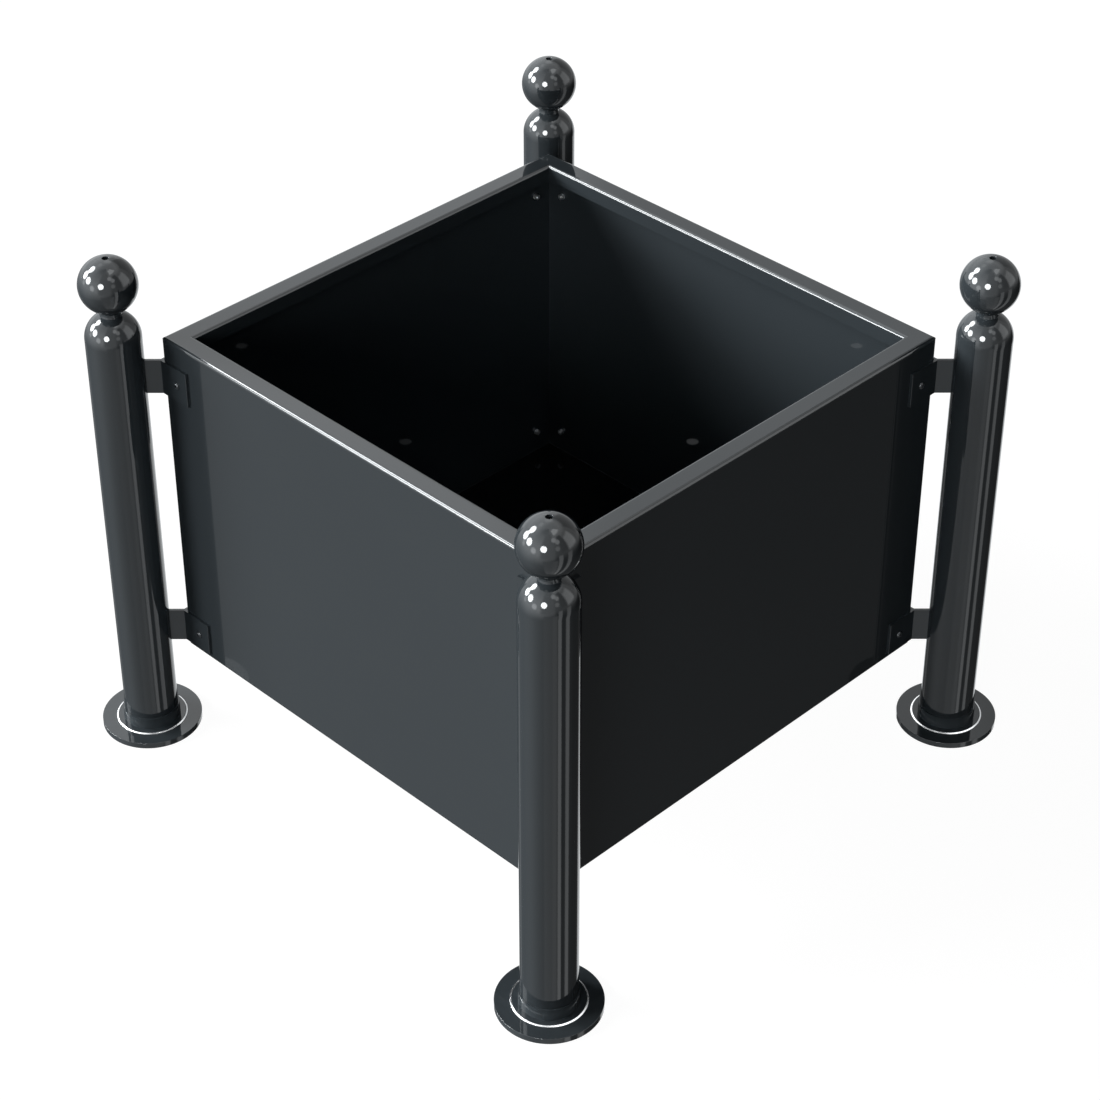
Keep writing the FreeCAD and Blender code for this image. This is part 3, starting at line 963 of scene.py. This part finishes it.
@dataclass
class Nuts(Assembly):
    """Sixteen six-sided nuts with chamfered corners and countersunk bores."""

    title: str = "nuts"
    width: float = 8.0 * MM
    height: float = 4.0 * MM
    bore_radius: float = 2.5 * MM
    countersink: float = 0.3 * MM
    chamfer: float = 0.4 * MM
    envelope_gap: float = 0.01 * MM
    hexagon_turn: float = math.radians(30)
    corners: int = 32
    finish: Zinc = Zinc("nut_zinc")
    washer_finish: Zinc = Zinc("washer_zinc", roughness=0.3)

    def build(self) -> None:
        """Model one nut and put it on its sixteen bolts, on the washers."""
        nut = self.blank()
        combine(nut, self.bore(), Combine.CUT)
        face_outwards(nut)
        _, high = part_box("bolt_nuts")
        piece = copy_to(nut, Bolts().places(high.x - self.height), "lock_nuts")
        self.declare(piece, "bolt_nuts", "nut_zinc", self.finish.material())
        self.dress(("bolt_washers",), self.washer_finish.material())

    def blank(self) -> bpy.types.Object:
        """The nut without its bore.

        Returns:
            A six-sided bar, with its corners turned down at both ends.
        """
        radius = corner_radius(self.width)
        made = add_prism("nut", radius, 0.0, self.height, HEX_SIDES, turn=self.hexagon_turn)
        envelope = add_prism("envelope", radius + self.envelope_gap, 0.0, self.height, self.corners * 2)
        bevel_ends(envelope, self.chamfer)
        combine(made, envelope, Combine.KEEP_COMMON)
        return made

    def bore(self) -> bpy.types.Object:
        """What the bore takes out of the nut.

        Returns:
            A round bar that widens at both ends and reaches past the nut's faces.
        """
        depth = self.countersink
        made = add_prism("bore", self.bore_radius, depth, self.height - depth, self.corners)
        wide = (self.bore_radius + depth * 2) / self.bore_radius
        for side in Side:
            open_mesh(made, end_faces(side), Element.FACES)
            step = (0.0, 0.0, depth * 2 * side.value)
            bpy.ops.mesh.extrude_region_move(TRANSFORM_OT_translate={"value": step})
            bpy.ops.transform.resize(value=(wide, wide, 1.0))
            close_mesh()
        return made


# The studio


RIGHT = Vector((1.0, 1.0, 0.0)).normalized()
AWAY = Vector((-1.0, 1.0, 0.0)).normalized()
UP = Vector((0.0, 0.0, 1.0))
LEVEL_PARTS = (1.0, 1.0, 0.0)
LEAST_ANGLE = 0.1


def direction(azimuth: float, elevation: float) -> Vector:
    """A direction in the studio.

    Args:
        azimuth: Degrees round from straight away from the camera, clockwise from above.
        elevation: Degrees above the horizon.

    Returns:
        A unit vector in the frame.
    """
    turn, lift = math.radians(azimuth), math.radians(elevation)
    level = RIGHT * math.sin(turn) + AWAY * math.cos(turn)
    return level * math.cos(lift) + UP * math.sin(lift)


def height_of(elevation: float) -> float:
    """The upward part of a unit vector at an elevation in degrees."""
    return math.sin(math.radians(elevation))


def ramp_place(height: Value) -> Value:
    """The place on a ramp, from 0 to 1, of the upward part of a unit vector."""
    return height * 0.5 + 0.5


def soft_edge(half_angle: float, blur: float) -> Span:
    """Where a soft edge begins and ends.

    Args:
        half_angle: Degrees from the middle of a patch to its edge.
        blur: Degrees that the edge is blurred by on either side.

    Returns:
        The cosine of the angle outside the edge, and of the one inside it.
    """
    inside = max(half_angle - blur, LEAST_ANGLE)
    return math.cos(math.radians(half_angle + blur)), math.cos(math.radians(inside))


@dataclass(frozen=True)
class SoftLamp:
    """A round lamp that lights the object as a wide sun. The gloss shows the studio's discs instead."""

    name: str
    azimuth: float
    elevation: float
    light: float
    radius: float = 12.0

    def build(self) -> None:
        """Add the lamp that lights the object."""
        data = bpy.data.lights.new(self.name, "SUN")
        data.energy = self.light * math.pi
        data.angle = math.radians(self.radius * 2)
        lamp = bpy.data.objects.new(self.name, data)
        bpy.context.scene.collection.objects.link(lamp)
        lamp.rotation_euler = direction(self.azimuth, self.elevation).to_track_quat("Z", "Y").to_euler()
        lamp.visible_glossy = False
        log.info("studio: %s", self.name)


@dataclass(frozen=True)
class Disc:
    """A round patch of the studio, as it shows in the gloss."""

    azimuth: float
    elevation: float
    radius: float
    level: float
    blur: float = 2.0

    def over(self, tree: Tree, view: "View", under: Value) -> Link:
        """Lay the patch over what is behind it.

        Args:
            tree: The world's tree.
            view: The direction that is looked in.
            under: The level behind the patch.

        Returns:
            The level with the patch.
        """
        middle = direction(self.azimuth, self.elevation)
        share = view.whole.dot(middle).ease(*soft_edge(self.radius, self.blur))
        return tree.blend(share, under, self.level)


@dataclass(frozen=True)
class Patch:
    """A four-sided patch of the studio, such as a window, a wall or a doorway."""

    azimuth: float
    half_width: float
    low: float
    high: float
    level: float
    blur: float = 3.0

    def over(self, tree: Tree, view: "View", under: Value) -> Link:
        """Lay the patch over what is behind it.

        Args:
            tree: The world's tree.
            view: The direction that is looked in.
            under: The level behind the patch.

        Returns:
            The level with the patch.
        """
        middle = direction(self.azimuth, 0.0)
        share = view.flat.dot(middle).ease(*soft_edge(self.half_width, self.blur))
        share = share * view.height.ease(height_of(self.low - self.blur), height_of(self.low + self.blur))
        share = share * view.height.ease(height_of(self.high + self.blur), height_of(self.high - self.blur))
        return tree.blend(share, under, self.level)


@dataclass(frozen=True)
class View:
    """The direction that is looked in, whole, levelled, and its height."""

    whole: Link
    flat: Link
    height: Link


@dataclass
class Studio:
    """Soft lamps low on the left, bright walls that the gloss shows, and a white floor."""

    lamps: Sequence[SoftLamp] = (
        SoftLamp("lamp_left", -75.0, 18.7, light=0.86),
        SoftLamp("lamp_near_left", -102.0, 18.5, light=0.62),
        SoftLamp("lamp_near", -161.0, 19.0, light=0.17),
    )
    lamp_discs: Sequence[Disc] = (
        Disc(-70.0, 41.3, 9.9, 30.0),
        Disc(-73.0, 30.5, 5.0, 30.0),
        Disc(-74.2, 18.2, 9.9, 30.0),
        Disc(-101.3, 19.7, 10.5, 30.0),
        Disc(-161.0, 20.3, 10.3, 30.0),
        Disc(-127.5, 6.0, 8.0, 5.5, blur=4.0),
    )
    walls: Sequence[Patch] = (
        Patch(-35.0, 23.0, 24.0, 66.0, 2.1, blur=7.0),
        Patch(-45.0, 12.0, 54.0, 66.0, 2.9, blur=5.0),
        Patch(31.0, 28.0, 3.0, 46.0, 0.58, blur=4.0),
        Patch(-5.5, 6.5, 18.0, 48.0, 1.87),
        Patch(6.0, 5.0, 8.0, 48.0, 1.14),
        Patch(-5.5, 6.5, 24.0, 32.2, 1.47, blur=1.2),
        Patch(6.0, 5.0, 24.0, 32.2, 0.94, blur=1.2),
        Patch(16.0, 30.0, -50.0, -12.0, 1.15, blur=5.0),
        Patch(-43.0, 4.0, -50.0, -15.0, 0.3, blur=3.0),
        Patch(94.0, 17.0, 2.0, 43.0, 2.1, blur=6.0),
        Patch(127.0, 11.0, 4.0, 57.0, 0.5, blur=4.0),
        Patch(116.0, 32.0, 65.0, 82.0, 3.9, blur=4.0),
        Patch(-175.0, 22.0, -15.0, 75.0, 1.0, blur=8.0),
        Patch(175.0, 24.0, -75.0, -20.0, 0.6, blur=5.0),
        Patch(160.0, 6.0, -75.0, -20.0, 0.72, blur=5.0),
        Patch(142.0, 6.0, -75.0, -4.0, 1.33),
        Patch(111.0, 7.0, -75.0, -4.0, 1.0),
    )
    spots: Sequence[Disc] = (
        Disc(-2.0, 54.0, 8.0, 2.8, blur=4.0),
        Disc(-85.0, 4.0, 6.0, 3.3, blur=3.0),
        Disc(144.0, 41.0, 7.0, 2.4, blur=3.0),
        Disc(158.0, 50.0, 7.0, 3.0, blur=3.0),
        Disc(150.0, 20.0, 7.0, 1.6, blur=3.0),
    )
    near_left: Stops = (
        (-90, 0.2), (-60, 0.27), (-45, 0.42), (-35, 0.52), (-25, 0.95), (-15, 1.5),
        (0, 2.4), (25, 2.3), (45, 1.7), (60, 1.4), (70, 0.95), (85, 0.8))
    near_right: Stops = (
        (-90, 0.2), (-60, 0.2), (-45, 0.17), (-35, 0.15), (-25, 0.15), (-15, 0.25),
        (0, 0.6), (20, 0.7), (45, 0.9), (60, 1.6), (75, 1.6))
    far_left: Stops = (
        (-90, 0.1), (-60, 0.1), (-45, 0.12), (-30, 0.17), (-20, 0.35), (-10, 0.75),
        (0, 1.4), (15, 1.5), (30, 1.9), (55, 2.7), (70, 1.9), (80, 1.5))
    far_right: Stops = (
        (-90, 0.1), (-45, 0.08), (-30, 0.05), (-20, 0.03), (-12, 0.1), (-4, 0.6),
        (0, 0.7), (20, 0.8), (45, 1.0), (60, 1.8), (75, 1.6))
    wall_scale: float = 4.0
    wall_blend: float = 0.5
    ambient: float = 0.015
    second_span: Span = (1.4, 1.6)
    second_share: float = 0.3
    gloss_tint: Colour = (0.97, 1.0, 1.02)
    floor_reach: float = 40.0
    floor_drop: float = 0.2 * MM
    floor_colour: Colour = (0.15, 0.15, 0.15)
    floor_glow: float = 0.965

    def build(self) -> None:
        """Light the studio and lay its floor."""
        for lamp in self.lamps:
            lamp.build()
        self.build_world()
        self.build_floor()

    def wall(self, tree: Tree, view: View, stops: Stops) -> Link:
        """One wall's level at every height. A ramp holds no level over 1, so they are scaled.

        Args:
            tree: The world's tree.
            view: The direction that is looked in.
            stops: An elevation and a level for each stop.

        Returns:
            The level.
        """
        places = [(ramp_place(height_of(elevation)), level / self.wall_scale) for elevation, level in stops]
        return tree.ramp(ramp_place(view.height), places) * self.wall_scale

    def build_world(self) -> None:
        """White for the camera, the studio's walls and lamps in the gloss, and a faint ambient light."""
        world = bpy.data.worlds.new("studio")
        world.use_nodes = True
        world.cycles.sampling_method = "NONE"
        bpy.context.scene.world = world
        tree = Tree(world.node_tree)
        whole = tree.place()
        view = View(whole, whole.times(LEVEL_PARTS).unit(), whole.dot(UP))
        rightwards = view.flat.dot(RIGHT).ease(-self.wall_blend, self.wall_blend)
        away = view.flat.dot(AWAY).ease(-self.wall_blend, self.wall_blend)
        sides = ((self.near_left, self.near_right), (self.far_left, self.far_right))
        near, far = [
            tree.blend(rightwards, self.wall(tree, view, left), self.wall(tree, view, right))
            for left, right in sides]
        level = tree.blend(away, near, far)
        for patch in (*self.walls, *self.spots, *self.lamp_discs):
            level = patch.over(tree, view, level)
        rays = tree.node("ShaderNodeLightPath")
        glossy = tree.link(rays, "Is Glossy Ray")
        seen = tree.link(rays, "Is Camera Ray").largest(tree.link(rays, "Is Transmission Ray"))
        second = tree.link(rays, "Glossy Depth").ease(*self.second_span)
        level = tree.blend(second, level, level * self.second_share)
        strength = tree.blend(glossy, tree.blend(seen, self.ambient, 1.0), level)
        tint = tree.blend_colour(glossy, WHITE, self.gloss_tint)
        shader = tree.node("ShaderNodeBackground", None, {"Color": tint, "Strength": strength})
        tree.node("ShaderNodeOutputWorld", None, {"Surface": tree.link(shader, "Background")})
        log.info("studio: world")

    def build_floor(self) -> None:
        """A white floor that keeps a faint shadow. The gloss shows the studio's own floor tones instead."""
        deselect_all()
        bpy.ops.mesh.primitive_plane_add(size=self.floor_reach, location=(0.0, 0.0, -self.floor_drop))
        floor = bpy.context.object
        floor.name = "studio_floor"
        material, tree = new_material("studio_floor_white")
        rays = tree.node("ShaderNodeLightPath")
        seen = tree.link(rays, "Is Camera Ray").largest(tree.link(rays, "Is Glossy Ray"))
        seen = seen.largest(tree.link(rays, "Is Transmission Ray"))
        close_material(tree, {
            "Base Color": self.floor_colour,
            "Roughness": 1.0,
            "Specular IOR Level": 0.0,
            "Emission Color": tree.blend_colour(seen, BLACK, WHITE),
            "Emission Strength": self.floor_glow,
        })
        floor.data.materials.append(material)
        floor.visible_glossy = False
        log.info("studio: floor")


@dataclass(frozen=True)
class Camera:
    """The photograph's camera, above the corner between the front and right sides."""

    place: tuple[float, float, float] = (2.2265, -2.2265, 2.6128)
    tilt: float = 55.054
    heading: float = 44.97
    lens: float = 92.06
    sensor: float = 36.0
    shift: tuple[float, float] = (-0.0003, -0.0608)

    def build(self) -> None:
        """Add the camera and make it the scene's."""
        data = bpy.data.cameras.new("photo_camera")
        data.lens = self.lens
        data.sensor_width = self.sensor
        data.shift_x, data.shift_y = self.shift
        camera = bpy.data.objects.new("photo_camera", data)
        bpy.context.scene.collection.objects.link(camera)
        camera.location = self.place
        camera.rotation_euler = (math.radians(self.tilt), 0.0, math.radians(self.heading))
        bpy.context.scene.camera = camera
        log.info("camera: %.1f mm", self.lens)


def main() -> None:
    """Build the camera, the planter's sub-assemblies and the studio, in order."""
    Camera().build()
    for part in (Box(), Posts(), Brackets(), Bolts(), Nuts()):
        part.build()
    Studio().build()
    bpy.context.scene.view_settings.view_transform = "Standard"


if __name__ == "__main__":
    main()
